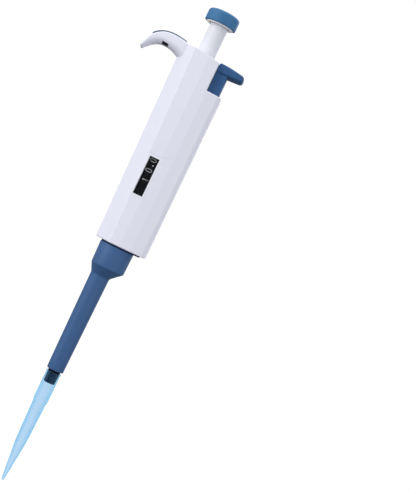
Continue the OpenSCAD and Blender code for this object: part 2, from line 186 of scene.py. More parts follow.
def box_piece(name, lo, hi, r=0.0, axis=2, seg=4):
    """A block whose edges along one axis are rounded."""
    u, v = [k for k in range(3) if k != axis]
    flat = [(lo[u], lo[v]), (hi[u], lo[v]), (hi[u], hi[v]), (lo[u], hi[v])]
    flat = round_corners(flat, r, seg) if r else flat
    rings = []
    for w in (lo[axis], hi[axis]):
        ring = []
        for a, b in flat:
            p = [0, 0, 0]
            p[u], p[v], p[axis] = a, b, w
            ring.append(tuple(p))
        rings.append(ring)
    return mesh_object(name, *loft(rings))


def tube_along(points, radius, sides=8):
    """A round wire through points in space."""
    rings = []
    side = None
    for i, p in enumerate(points):
        a = Vector(points[max(i - 1, 0)])
        b = Vector(points[min(i + 1, len(points) - 1)])
        t = (b - a).normalized()
        side = (side or (Vector((0, 1, 0)) if abs(t.y) < 0.9 else Vector((1, 0, 0))))
        side = (side - t * side.dot(t)).normalized()
        up = t.cross(side)
        rings.append([tuple(Vector(p) + (side * math.cos(2 * math.pi * k / sides)
                                         + up * math.sin(2 * math.pi * k / sides)) * radius)
                      for k in range(sides)])
    return loft(rings)


def boolean(obj, other, how):
    """Joins, cuts or intersects an object with another, which is used up."""
    mod = obj.modifiers.new("cut", "BOOLEAN")
    mod.operation = how
    mod.solver = "EXACT"
    mod.object = other
    bpy.context.view_layer.update()
    done = obj.evaluated_get(bpy.context.evaluated_depsgraph_get())
    mesh = bpy.data.meshes.new_from_object(done)
    obj.modifiers.clear()
    obj.data = mesh
    mesh.name = obj.name
    bpy.data.objects.remove(other)


# ---------------------------------------------------------------- materials
class Nodes:
    """Short hand for building a material's node tree."""

    def __init__(self, name):
        self.mat = bpy.data.materials.new(name)
        self.mat.use_nodes = True
        self.tree = self.mat.node_tree
        self.bsdf = self.tree.nodes["Principled BSDF"]
        self.coord = self.tree.nodes.new("ShaderNodeTexCoord")

    def node(self, kind, **values):
        n = self.tree.nodes.new(kind)
        for k, v in values.items():
            if k in n.inputs:
                n.inputs[k].default_value = v
            else:
                setattr(n, k, v)
        return n

    def link(self, a, b):
        self.tree.links.new(a, b)

    def noise(self, scale, detail=3.0, rough=0.5, stretch=(1, 1, 1)):
        """Noise fixed to the object, stretched along an axis where the factor is small."""
        m = self.node("ShaderNodeMapping")
        m.inputs["Scale"].default_value = stretch
        self.link(self.coord.outputs["Object"], m.inputs["Vector"])
        n = self.node("ShaderNodeTexNoise", Scale=scale, Detail=detail, Roughness=rough)
        self.link(m.outputs["Vector"], n.inputs["Vector"])
        return n.outputs["Fac"]

    def remap(self, value, lo, hi, a=0.3, b=0.7):
        """Maps the range a..b to lo..hi."""
        n = self.node("ShaderNodeMapRange")
        n.inputs["From Min"].default_value = a
        n.inputs["From Max"].default_value = b
        n.inputs["To Min"].default_value = lo
        n.inputs["To Max"].default_value = hi
        self.link(value, n.inputs["Value"])
        return n.outputs["Result"]

    def mix(self, fac, a, b):
        n = self.node("ShaderNodeMix", data_type="RGBA")
        for sock, v in ((n.inputs["Factor"], fac), (n.inputs[6], a), (n.inputs[7], b)):
            if isinstance(v, bpy.types.NodeSocket):
                self.link(v, sock)
            else:
                sock.default_value = v
        return n.outputs[2]

    def above(self, z, soft):
        """Nought below the height z and one above it, over a soft step; millimetres."""
        at = self.node("ShaderNodeSeparateXYZ")
        self.link(self.coord.outputs["Object"], at.inputs["Vector"])
        return self.remap(at.outputs["Z"], 0, 1, (z - soft / 2) * MM, (z + soft / 2) * MM)

    def bump(self, height, strength, distance):
        n = self.node("ShaderNodeBump", Strength=strength, Distance=distance)
        self.link(height, n.inputs["Height"])
        self.link(n.outputs["Normal"], self.bsdf.inputs["Normal"])


def shade(c, f):
    """A colour made lighter or darker, with alpha."""
    return tuple(min(1, v * f) for v in c[:3]) + (1,)


def plastic(name, color, rough=0.35, vary=0.05, grain=900, bump=0.08, spec=0.5, dirt=0.0, gloss=(1, 1, 1),
            low=None):
    """Moulded plastic: faint mottling, fine grain in the finish, and handling marks in the gloss.

    low = (z, color) gives it another colour below that height.
    """
    m = Nodes(name)
    tone = m.remap(m.noise(60, 4, 0.6), 0, 1)
    col = m.mix(tone, shade(color, 1 - vary), shade(color, 1 + vary))
    if dirt:
        col = m.mix(m.remap(m.noise(420, 6, 0.75), 0, dirt, 0.52, 0.7), col, shade(color, 0.7))
    if low:
        col = m.mix(m.above(low[0], 0.2), low[1] + (1,), col)
    m.link(col, m.bsdf.inputs["Base Color"])
    m.link(m.remap(m.noise(140, 5, 0.7, (1, 1, 0.25)), rough - 0.07, rough + 0.08), m.bsdf.inputs["Roughness"])
    m.bsdf.inputs["Specular IOR Level"].default_value = spec
    m.bsdf.inputs["Specular Tint"].default_value = gloss + (1,)
    m.bump(m.noise(grain, 2, 0.5), bump, 0.0002)
    return m.mat


def metal(name, color, rough=0.25, stretch=(1, 1, 30)):
    """Turned or drawn metal with fine tool marks round the axis."""
    m = Nodes(name)
    lines = m.noise(260, 4, 0.6, stretch)
    tone = m.remap(m.noise(90, 3, 0.5), 0, 1)
    m.link(m.mix(tone, shade(color, 0.88), shade(color, 1.08)), m.bsdf.inputs["Base Color"])
    m.link(m.remap(lines, rough - 0.08, rough + 0.12), m.bsdf.inputs["Roughness"])
    m.bsdf.inputs["Metallic"].default_value = 1.0
    m.bump(lines, 0.12, 0.0001)
    return m.mat


def outer_wall(m):
    """One on a turned part's outside wall and nought on its inside, with a soft step between."""
    flat = m.node("ShaderNodeVectorMath", operation="MULTIPLY")
    m.link(m.coord.outputs["Object"], flat.inputs[0])
    flat.inputs[1].default_value = (1, 1, 0)
    unit = m.node("ShaderNodeVectorMath", operation="NORMALIZE")
    m.link(flat.outputs["Vector"], unit.inputs[0])
    away = m.node("ShaderNodeVectorMath", operation="DOT_PRODUCT")
    m.link(unit.outputs["Vector"], away.inputs[0])
    m.link(m.coord.outputs["Normal"], away.inputs[1])
    side = m.node("ShaderNodeMath", operation="MULTIPLY")
    m.link(away.outputs["Value"], side.inputs[0])
    m.link(m.remap(m.node("ShaderNodeNewGeometry").outputs["Backfacing"], 1, -1, 0, 1), side.inputs[1])
    return m.remap(side.outputs["Value"], 0, 1, -0.4, 0.1)


def see_through(name, tint, rim_tint, color, rim_color, face, edge, rough, power, spec, streak=0.0, shadow=None,
                inner=None):
    """Translucent moulding: light passing each wall takes the tint; the surface shows more at the rims.

    shadow = (z, tint) is the rim tint above that height; inner is the tint of the inside walls.
    """
    m = Nodes(name)
    lw = m.node("ShaderNodeLayerWeight", Blend=0.5)
    pw = m.node("ShaderNodeMath", operation="POWER")
    m.link(lw.outputs["Facing"], pw.inputs[0])
    pw.inputs[1].default_value = power
    rim = pw.outputs["Value"]
    tone = m.remap(m.noise(70, 4, 0.6, (1, 1, 0.2)), 0, 1)
    col = m.mix(rim, color + (1,), rim_color + (1,))
    m.link(m.mix(tone, col, m.mix(0.12, col, (1, 1, 1, 1))), m.bsdf.inputs["Base Color"])
    m.link(m.remap(m.noise(200, 4, 0.6), rough - 0.06, rough + 0.08), m.bsdf.inputs["Roughness"])
    m.bsdf.inputs["Specular IOR Level"].default_value = spec
    a = m.remap(rim, face, edge, 0.0, 1.0)
    if streak:
        add = m.node("ShaderNodeMath", operation="ADD", use_clamp=True)
        m.link(a, add.inputs[0])
        m.link(m.remap(m.noise(300, 3, 0.5, (1, 1, 0.03)), 0, streak, 0.45, 0.75), add.inputs[1])
        a = add.outputs["Value"]
    deep = rim_tint + (1,)
    if shadow:
        deep = m.mix(m.above(shadow[0], 0.6), deep, shadow[1] + (1,))
    through = m.mix(rim, tint + (1,), deep)
    if inner:
        outer = outer_wall(m)
        through = m.mix(outer, inner + (1,), through)
        less = m.node("ShaderNodeMath", operation="MULTIPLY")
        m.link(a, less.inputs[0])
        m.link(m.remap(outer, 0.25, 1, 0, 1), less.inputs[1])
        a = less.outputs["Value"]
    clear = m.node("ShaderNodeBsdfTransparent")
    m.link(through, clear.inputs["Color"])
    blend = m.node("ShaderNodeMixShader")
    m.link(a, blend.inputs["Fac"])
    m.link(clear.outputs["BSDF"], blend.inputs[1])
    m.link(m.bsdf.outputs["BSDF"], blend.inputs[2])
    m.link(blend.outputs["Shader"], m.tree.nodes["Material Output"].inputs["Surface"])
    m.bump(m.noise(500, 2, 0.5), 0.05, 0.0001)
    return m.mat


BLUE_GLOSS = (0.45, 0.58, 1.0)
CASING = plastic("casing_white", (0.80, 0.80, 0.885), 0.45, 0.012, 1400, 0.05, 0.4)
BEZEL = plastic("bezel_white", (0.93, 0.93, 0.96), 0.35, 0.01, 1400, 0.04)
LINER = plastic("liner_white", (0.95, 0.95, 0.95), 0.4, 0.02, 1200, 0.04)
TUBE = plastic("tube_white", (0.77, 0.77, 0.82), 0.5, 0.012, 1500, 0.03, 0.3)
COVER = plastic("cover_grey_blue", (0.085, 0.125, 0.195), 0.5, 0.08, 1000, 0.1, 0.25)
BUTTON = plastic("button_blue", (0.034, 0.15, 0.30), 0.55, 0.10, 700, 0.14, 0.8, 0.25, BLUE_GLOSS)
EJECTOR = plastic("ejector_blue", (0.029, 0.092, 0.218), 0.55, 0.08, 900, 0.10, 0.6, 0.0, BLUE_GLOSS)
SLEEVE = plastic("sleeve_blue", (0.034, 0.098, 0.225), 0.55, 0.05, 1100, 0.06, 1.0, 0.0, BLUE_GLOSS)
# painted shade: black for the shaded hollow inside the rail slot, grey below 277.75 mm for its white wall in shade
SLOT_SHADE = plastic("slot_painted_shade", (0.012, 0.012, 0.019), 0.6, 0.2, 900, 0.08, 0.2,
                 low=(277.75, (0.17, 0.165, 0.185)))
# blue plastic darkened with painted shade, for the shaded gap between the casing's foot and the collar
YOKE_SHADED_BLUE = plastic("yoke_blue_painted_shade", (0.010, 0.026, 0.070), 0.5, 0.15, 900, 0.08, 0.12)
BLACK = plastic("moulded_black", (0.006, 0.006, 0.008), 0.6, 0.2, 900, 0.08, 0.12)
WHEEL = plastic("wheel_black", (0.010, 0.011, 0.015), 0.6, 0.2, 1200, 0.1, 0.1)
CORE = plastic("core_black", (0.004, 0.005, 0.009), 0.3, 0.15, 900, 0.02, 0.12, 0.0, (0.5, 0.6, 1.0))
DARK = plastic("frame_grey", (0.045, 0.048, 0.055), 0.5, 0.1, 700, 0.12)
PALE = plastic("bush_pale", (0.72, 0.72, 0.76), 0.35, 0.03, 900, 0.05)
SEAL = plastic("seal_white", (0.82, 0.81, 0.76), 0.4, 0.04, 700, 0.05)
RUBBER = plastic("seal_rubber", (0.012, 0.012, 0.013), 0.65, 0.15, 600, 0.15)
INK = plastic("digit_white", (0.92, 0.92, 0.94), 0.6, 0.06, 1500, 0.05)
STEEL = metal("ground_steel", (0.62, 0.63, 0.65), 0.22)
WIRE = metal("spring_wire", (0.55, 0.56, 0.58), 0.28, (20, 20, 1))
BRASS = metal("turned_brass", (0.72, 0.52, 0.22), 0.25)
LENS = see_through("clear_lens", tint=(0.97, 0.98, 0.98), rim_tint=(0.8, 0.82, 0.84), color=(0.05, 0.05, 0.06),
                   rim_color=(0.4, 0.42, 0.45), face=0.03, edge=0.4, rough=0.15, power=2.0, spec=0.2)
TIP = see_through("tip_blue", tint=(0.745, 0.87, 0.97), rim_tint=(0.455, 0.82, 1.0), color=(0.10, 0.35, 0.72),
                  rim_color=(0.34, 0.72, 0.92), face=0.05, edge=0.32, rough=0.16, power=1.15, spec=0.7,
                  streak=0.06, shadow=(64.9, (0.48, 0.78, 0.92)), inner=(0.97, 0.985, 0.99))

NODE_MATERIALS = {
    "handle_shell": CASING, "hook_cover": COVER, "window_lens": LENS, "window_mask": BLACK,
    "top_bush": PALE, "neck_socket": DARK, "counter_frame": DARK, "counter_top_plate": DARK,
    "counter_post": STEEL, "counter_shaft": STEEL, "wheel_spacers": BLACK, "guide_pins": STEEL,
    "upper_bracket": DARK, "ejector_guide": DARK, "tip_core": CORE, "piston_seal": SEAL,
    "seal_ring": RUBBER, "seal_retainer": PALE, "return_spring": WIRE, "piston": STEEL,
    "piston_head": DARK, "thrust_ball": STEEL, "button_cap": BUTTON, "button_liner": LINER,
    "push_tube": TUBE, "drive_rod": STEEL, "drive_sleeve": BRASS, "stop_nut": PALE,
    "wheel_tenths": WHEEL, "wheel_units": WHEEL, "wheel_tens": WHEEL, "wheel_hundreds": WHEEL,
    "pinion_upper": PALE, "pinion_middle": PALE, "pinion_lower": PALE, "ejector_button": EJECTOR,
    "ejector_rod": STEEL, "ejector_yoke": YOKE_SHADED_BLUE, "ejector_sleeve": SLEEVE, "ejector_spring": WIRE,
    "disposable_tip": TIP,
}
for node, mat in NODE_MATERIALS.items():
    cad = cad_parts[node]
    cad.data.materials.clear()
    cad.data.materials.append(mat)


def piece(obj, mat, body, slot, *nodes):
    """Finishes an object, sets it on its body and hides the CAD nodes it stands for."""
    obj.data.materials.clear()
    obj.data.materials.append(mat)
    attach(obj, body)
    if nodes:
        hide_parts(*nodes)
    return obj


# ---------------------------------------------------------------- handle casing
CASING_Z0, CASING_Z1, TOP_FALL = 156.4, 281.8, 0.13
NOTCH_X, NOTCH_Z = 10.2, 262.3
# each facet's (direction in degrees, distance from the axis at the foot, distance at the top)
HALF = [(0, 20, 20.16), (45, 18.85, 19.1), (73, 13.6, 13.94), (80.8, 12.53, 12.88),
        (90, 12.1, 12.5), (138, 10.3, 13.34), (180, 12.64, 15.13)]
FACETS = HALF + [(360 - a, d0, d1) for a, d0, d1 in HALF[5:0:-1]]
CORNER_R = [2.2, 3.5, 9, 6, 1.1, 1.6, 1.6, 1.1, 6, 9, 3.5, 2.2]


def facet_d(i, z, g=0.0):
    """Distance of facet i from the axis at height z, plus g."""
    a, d0, d1 = FACETS[i]
    return d0 + (d1 - d0) * (z - CASING_Z0) / 125.6 + g


def outline(z, g):
    """The facets' corner points at height z."""
    pts = []
    for i in range(len(FACETS)):
        j = (i + 1) % len(FACETS)
        a, b = math.radians(FACETS[i][0]), math.radians(FACETS[j][0])
        da, db = facet_d(i, z, g), facet_d(j, z, g)
        s = math.sin(b - a)
        pts.append(((da * math.sin(b) - db * math.sin(a)) / s, (db * math.cos(a) - da * math.cos(b)) / s))
    return pts


def front_y(x, z):
    """The casing's front face at x and height z."""
    out = -99.0
    for i in range(7, 12):
        a = math.radians(FACETS[i][0])
        out = max(out, (facet_d(i, z) - x * math.cos(a)) / math.sin(a))
    return out


def casing_ring(z, inset, x_max=None, slope=False, drop=0.0):
    """The casing's rounded outline at height z, cut off beyond x_max, or laid in the sloping top."""
    pts = outline(z, -inset)
    radii = [max(r - inset, 0.05) for r in CORNER_R]
    if x_max is not None:
        cut, cut_r = [], []
        for i, a in enumerate(pts):
            b = pts[(i + 1) % len(pts)]
            if a[0] <= x_max:
                cut.append(a)
                cut_r.append(radii[i])
            if (a[0] - x_max) * (b[0] - x_max) < 0:
                f = (x_max - a[0]) / (b[0] - a[0])
                cut.append((x_max, a[1] + f * (b[1] - a[1])))
                cut_r.append(max(0.7 - inset, 0.05))
        pts, radii = cut, cut_r
    flat = round_corners(pts, radii, 5)
    if slope:
        return [(x, y, CASING_Z1 - TOP_FALL * x - drop) for x, y in flat]
    return [(x, y, z) for x, y in flat]


def edge_turn(r, steps=5):
    """(inset, distance from the end face) round an edge of radius r, from the side to the end face."""
    return [(r * (1 - math.cos(a)), r * (1 - math.sin(a)))
            for a in (math.pi / 2 * k / steps for k in range(steps + 1))]


def casing_lower():
    """The full section, from the foot up to the ejector's notch."""
    low = [casing_ring(CASING_Z0 + d, i) for i, d in reversed(edge_turn(0.7))]
    top = [casing_ring(NOTCH_Z - d, i) for i, d in edge_turn(0.9)]
    return mesh_object("casing", *loft(low + top))


def casing_upper():
    """The narrower part beside the notch, under the sloping top."""
    rings = [casing_ring(252, 0.012, NOTCH_X)]
    rings += [casing_ring(CASING_Z1, 0.012 + i, NOTCH_X - i, True, d) for i, d in edge_turn(0.8)]
    return mesh_object("upper", *loft(rings))


# the hook's side view, (x, z) from the casing outwards, and its half width at x
HOOK_TOP = ([(-4, 281.5), (-8, 282.65)]
            + cubic([(-10, 283.2), (-16, 284.4), (-21, 285.15), (-26, 284.35)], 10)
            + cubic([(-27.2, 284.05), (-31.0, 282.9), (-34.3, 280.2), (-36.15, 276.1)], 11)
            + cubic([(-36.4, 275.4), (-36.9, 274.1), (-37.3, 272.9), (-37.6, 271.8)], 3))
HOOK_UNDER = ([(-9.5, 271.8)] + cubic([(-13.6, 272.9), (-15.6, 273.9), (-17.6, 275.4), (-20.6, 276.3)], 8)
              + cubic([(-21.4, 276.55), (-22.8, 276.9), (-24, 276.95), (-25.5, 276.9)], 3)
              + cubic([(-26.5, 276.85), (-30.4, 276.5), (-33.7, 272.9), (-35.75, 270.5)], 10))
HOOK_WIDTH = [(-38.2, 4.0), (-37.4, 4.6), (-36, 5.2), (-33, 5.8), (-30, 6.3), (-24, 6.8), (-15.5, 7.0)]
# the rail slot's x, x, y, y and ceiling
SLOT = (-26.55, -22.4, -5.85, -0.6, 281.2)


def hook_section(x, w, h):
    """Outline round the arm: small upper corners and soft lower ones, softest near the casing."""
    a = min(table(x, [(-22, 3.9), (-15, 5.6)]), 0.8 * w)
    b = min(table(x, [(-22, 3.6), (-15, 5.2)]), 1.45 * h)
    r = min(1.1, 0.5 * h)
    arcs = [(w - a, b - h, a, b, -90, 0, 9), (w - r, h - r, r, r, 0, 90, 5),
            (r - w, h - r, r, r, 90, 180, 5), (a - w, b - h, a, b, 180, 270, 9)]
    out = []
    for cx, cy, rx, ry, a0, a1, n in arcs:
        out += [(cx + rx * math.cos(t), cy + ry * math.sin(t))
                for t in (math.radians(a0 + (a1 - a0) * k / n) for k in range(n + 1))]
    return out


def hook_arm():
    """The curved arm with its rounded end."""
    n = 52
    sections = []
    for t, u in zip(along(HOOK_TOP, n), along(HOOK_UNDER, n)):
        t, u = Vector((t[0], 0, t[1])), Vector((u[0], 0, u[1]))
        mid, up = (t + u) / 2, t - u
        sections.append((mid, up.normalized(), up.length / 2, table(mid.x, HOOK_WIDTH)))
    mid, up, h, w = sections[-1]
    out = Vector((up.z, 0, -up.x))
    out = out if out.x < 0 else -out
    for k in range(1, 8):
        a = math.radians(11.5 * k)
        sections.append((mid + out * 1.25 * math.sin(a), up, h * math.cos(a), w - 1.6 * (1 - math.cos(a))))
    rings = [[tuple(mid + up * b + Vector((0, a, 0))) for a, b in hook_section(mid.x, w, h)]
             for mid, up, h, w in sections]
    return mesh_object("arm", *loft(rings))


def groove_cutter():
    """A hairline arc pressed into the front above the window."""
    marks = [(-6.3, 213.6), (-5.6, 214.15), (-4.4, 214.4), (-2.8, 214.5), (0.0, 214.5), (3.0, 214.7),
             (5.0, 215.1), (6.6, 215.8), (8.3, 216.5), (9.4, 216.85)]
    line = [(x, front_y(x, z), z) for x, z in along(marks, 40)]
    return mesh_object("groove", *tube_along(line, 0.27, 8))


def bore(r, z0, z1, seg, x=0.0):
    """A round cutter."""
    return mesh_object("bore", *revolve([(0.001, z0), (r, z0), (r, z1), (0.001, z1)], seg, x=x))


def build_casing():
    """Casing and hook in one, hollow, with openings for the moving parts, the window and the rail."""
    casing = casing_lower()
    boolean(casing, casing_upper(), "UNION")
    boolean(casing, hook_arm(), "UNION")
    wall = 1.6
    hollow_low = mesh_object("hollow_low", *loft([casing_ring(158.4, wall), casing_ring(258.3, wall)]))
    hollow_high = mesh_object("hollow_high", *loft([casing_ring(z, wall + 0.02, NOTCH_X - wall)
                                                    for z in (250, 276.5)]))
    cutters = [
        hollow_low,
        hollow_high,
        box_piece("ejector_well", (10.25, -7.6, 239), (18.25, 7.6, 266), 0.9),
        bore(7, 268, 290, 72),
        bore(7.5, 150, 162, 72),
        bore(1.82, 150, 162, 32, 13.7),
        box_piece("rail_slot", (SLOT[0], SLOT[2], 272), (SLOT[1], SLOT[3], SLOT[4]), 0.4),
        box_piece("window", (-2.9, -30, 189.1), (2.9, -6, 213), 0.35, 1),
        box_piece("window_seat", (-3.3, -30, 188.7), (3.3, -11.62, 213.4), 0.6, 1),
        groove_cutter(),
    ]
    for cutter in cutters:
        boolean(casing, cutter, "DIFFERENCE")
    tidy_mesh(casing, 38, 4e-6)
    flat_faces_first(casing)
    piece(casing, CASING, "handle", "white_casing", "handle_shell")


def build_slot_shade():
    """Painted shade in the rail slot: a dark sheet for the shaded hollow of the hook, its lower rim flush with the
    hook's underside.
    """
    x0, x1, y0, y1, z1 = SLOT
    shade_sheet = box_piece("slot_shade_sheet", (x0 + 0.01, y0 + 0.01, 273), (x1 - 0.01, y1 - 0.01, z1 - 0.01), 0.39)
    boolean(shade_sheet, hook_arm(), "INTERSECT")
    hollow = box_piece("hollow", (x0 + 0.25, y0 + 0.25, 271), (x1 - 0.25, y1 - 0.25, z1 - 0.3), 0.2)
    boolean(shade_sheet, hollow, "DIFFERENCE")
    tidy_mesh(shade_sheet, 38)
    piece(shade_sheet, SLOT_SHADE, "handle", "black_plastic")


build_casing()
build_slot_shade()


# ---------------------------------------------------------------- hook cover
def build_cover():
    """An inlaid strip over the hook, ribbed across its flat part and smooth where it turns down."""
    line = (cubic([(-12.9, 284.0), (-17.5, 284.98), (-21.5, 285.55), (-26, 284.75)], 8)
            + cubic([(-27.2, 284.45), (-30.1, 283.6), (-32.5, 282.2), (-34.2, 280.2)], 8))
    pts = along(line, 150)
    rings = []
    total = len(pts) - 1
    for i, p in enumerate(pts):
        a, b = Vector(pts[max(i - 1, 0)]), Vector(pts[min(i + 1, total)])
        t = (b - a).normalized()
        nrm = Vector((t.y, -t.x))
        if nrm.y < 0:
            nrm = -nrm
        f = i / total
        rib = 0.13 * max(0.0, math.sin(2 * math.pi * i / 7.0)) if f < 0.66 else 0.0
        lift = table(f, [(0, 0.02), (0.02, 0.28), (0.7, 0.28), (0.97, 0.22), (1, 0.05)]) + rib
        deep = table(f, [(0, 0.5), (0.7, 0.7), (1, 0.8)])
        w = 5.9 * table(f, [(0, 0.9), (0.03, 1), (0.8, 1), (0.97, 0.88), (1, 0.76)])
        flat = round_corners([(-w, -deep), (w, -deep), (w, lift), (-w, lift)], 0.12, 3)
        c = Vector(p)
        rings.append([(c.x + nrm.x * v, u, c.y + nrm.y * v) for u, v in flat])
    cover = mesh_object("hook_inlay", *loft(rings), 50)
    piece(cover, COVER, "handle", "cover_grey_blue", "hook_cover")


build_cover()


# ---------------------------------------------------------------- counter window
def frame_ring(name, outer, inner, y0, y1, r_out, r_in):
    """A rectangular frame in XZ between y0 and y1; outer and inner are (x half width, z low, z high)."""
    rings = []
    for (hw, z0, z1), r, y in ((outer, r_out, y0), (outer, r_out, y1), (inner, r_in, y1), (inner, r_in, y0)):
        flat = round_corners([(-hw, z0), (hw, z0), (hw, z1), (-hw, z1)], r, 5)
        rings.append([(x, y, z) for x, z in flat])
    return mesh_object(name, *loft(rings, closed=True))


def build_window():
    """Clear pane, the dark gasket and white rim round it, and the printed decimal point."""
    pane = box_piece("window_pane", (-3.22, -12.12, 188.78), (3.22, -11.64, 213.32), 0.55, 1)
    piece(pane, LENS, "handle", "clear_lens", "window_lens")
    gasket = frame_ring("window_gasket", (2.88, 189.12, 212.98), (2.72, 189.3, 212.8), -11.62, -9.4, 0.4, 0.3)
    piece(gasket, BLACK, "handle", "black_plastic")
    bezel = frame_ring("window_bezel", (3.75, 188.25, 213.85), (3.24, 188.76, 213.34), -12.32, -12.1, 0.8, 0.5)
    piece(bezel, BEZEL, "handle", "white_casing")
    dot = mesh_object("decimal_point", *revolve([(0.001, 0), (0.34, 0), (0.34, 0.03), (0.001, 0.03)], 24))
    place = Matrix.Translation((0.95 * MM, -11.63 * MM, 208.3 * MM))
    dot.data.transform(place @ Matrix.Rotation(math.pi / 2, 4, "X"))
    piece(dot, INK, "handle", "clear_lens")


build_window()


# ---------------------------------------------------------------- counter digits
def arc_points(cx, cy, rx, ry, a0, a1, n=12):
    """Points along part of an ellipse, between two angles in degrees."""
    return [(cx + rx * math.cos(math.radians(a0 + (a1 - a0) * k / n)),
             cy + ry * math.sin(math.radians(a0 + (a1 - a0) * k / n))) for k in range(n + 1)]


# strokes in a box one wide and one high
GLYPHS = {
    0: [arc_points(0.5, 0.72, 0.5, 0.28, 0, 180) + arc_points(0.5, 0.28, 0.5, 0.28, 180, 360) + [(1.0, 0.72)]],
    1: [[(0.18, 0.8), (0.55, 1.0), (0.55, 0.0)]],
    2: [arc_points(0.5, 0.72, 0.5, 0.28, 165, -25) + [(0.0, 0.0), (1.0, 0.0)]],
    3: [arc_points(0.45, 0.76, 0.48, 0.24, 150, -90) + arc_points(0.45, 0.26, 0.53, 0.26, 90, -150)],
    4: [[(0.72, 0.0), (0.72, 1.0), (0.0, 0.3), (1.0, 0.3)]],
    5: [[(0.92, 1.0), (0.12, 1.0), (0.06, 0.55)] + arc_points(0.45, 0.31, 0.53, 0.31, 130, -150)],
    6: [[(0.75, 1.0), (0.2, 0.55)] + arc_points(0.5, 0.29, 0.48, 0.29, 150, -210, 20)],
    7: [[(0.0, 1.0), (1.0, 1.0), (0.35, 0.0)]],
    8: [arc_points(0.5, 0.76, 0.4, 0.24, -90, 270, 20), arc_points(0.5, 0.26, 0.5, 0.26, 90, 450, 20)],
    9: [[(0.25, 0.0), (0.8, 0.45)] + arc_points(0.5, 0.71, 0.48, 0.29, -30, 330, 20)],
}
WHEEL_R = 8.6


def digit_mesh(name, z_mid, first, blank_zero, lead):
    """Ten digits printed round a wheel, read sideways; the digit called first faces the window."""
    wide, high, pen = 1.62, 3.72, 0.2
    verts, faces = [], []
    for k in range(10):
        digit = (k + first) % 10
        if blank_zero and digit == 0:
            continue
        for stroke in GLYPHS[digit]:
            length = sum(math.dist(a, b) for a, b in zip(stroke, stroke[1:]))
            pts = [Vector((u * wide, v * high)) for u, v in along(stroke, round(14 * length))]
            closed = (pts[0] - pts[-1]).length < 1e-4
            if closed:
                pts.pop()
            n = len(pts)
            sides = []
            for i, p in enumerate(pts):
                a = pts[i - 1] if (closed or i) else p
                b = pts[(i + 1) % n] if (closed or i < n - 1) else p
                d1 = (p - a).normalized() if (p - a).length > 1e-6 else (b - p).normalized()
                d2 = (b - p).normalized() if (b - p).length > 1e-6 else d1
                t = (d1 + d2).normalized()
                m = Vector((-t.y, t.x))
                s = pen / max(0.45, m.dot(Vector((-d1.y, d1.x))))
                sides.append((p + m * s, p - m * s))
            base = len(verts)
            for left, right in sides:
                for q, r in ((left, WHEEL_R + 0.045), (right, WHEEL_R + 0.045),
                             (right, WHEEL_R - 0.03), (left, WHEEL_R - 0.03)):
                    phi = -math.radians(36 * k + lead) - (q.y - high / 2) / WHEEL_R
                    verts.append((r * math.sin(phi), -r * math.cos(phi), z_mid + q.x - wide / 2))
            for i in range(n if closed else n - 1):
                a, b = base + 4 * i, base + 4 * ((i + 1) % n)
                for e in range(4):
                    f = (e + 1) % 4
                    faces.append((a + e, a + f, b + f, b + e))
            if not closed:
                faces.append((base + 3, base + 2, base + 1, base))
                e = base + 4 * (n - 1)
                faces.append((e, e + 1, e + 2, e + 3))
    return mesh_object(name, verts, faces)


for name, body, z, first, blank, lead in (("digits_tenths", "tenths", 211.45, 0, False, 2.6),
                                          ("digits_units", "units", 205.0, 0, False, 2.6),
                                          ("digits_tens", "tens", 199.05, 1, False, -1.4),
                                          ("digits_hundreds", "hundreds", 192.4, 0, True, 2.6)):
    piece(digit_mesh(name, z, first, blank, lead), INK, body, "black_plastic")


# ---------------------------------------------------------------- push button
def build_button():
    """Knob with a domed top, its white liner, and the tube under them."""
    rim = round_path([(8.6, 302.1), (10.0, 302.1), (10.0, 308.85), (8.2, 309.9), (4.5, 310.2), (0.001, 310.28)],
                     [0.5, 2.2, 3, 4], 8)
    cap = mesh_object("push_knob", *revolve(rim + [(0.001, 308.4), (8.6, 308.4)], 128))
    piece(cap, BUTTON, "push_button", "button_blue", "button_cap")
    ring = round_path([(8.55, 308.35), (8.55, 301.7), (8.35, 301.4), (6.85, 301.4), (6.6, 301.7), (6.6, 306.2),
                       (0.001, 306.2)], [0.3, 0.3, 0.3, 0.2, 0.3], 4)
    liner = mesh_object("knob_liner", *revolve(ring + [(0.001, 308.35)], 128))
    piece(liner, LINER, "push_button", "tube_white", "button_liner")
    wall = round_path([(4.35, 272), (5.7, 272), (5.7, 306), (4.35, 306)], [0.3, 0.1], 4)
    tube = mesh_object("button_tube", *revolve(wall, 96))
    piece(tube, TUBE, "push_button", "tube_white", "push_tube")


build_button()


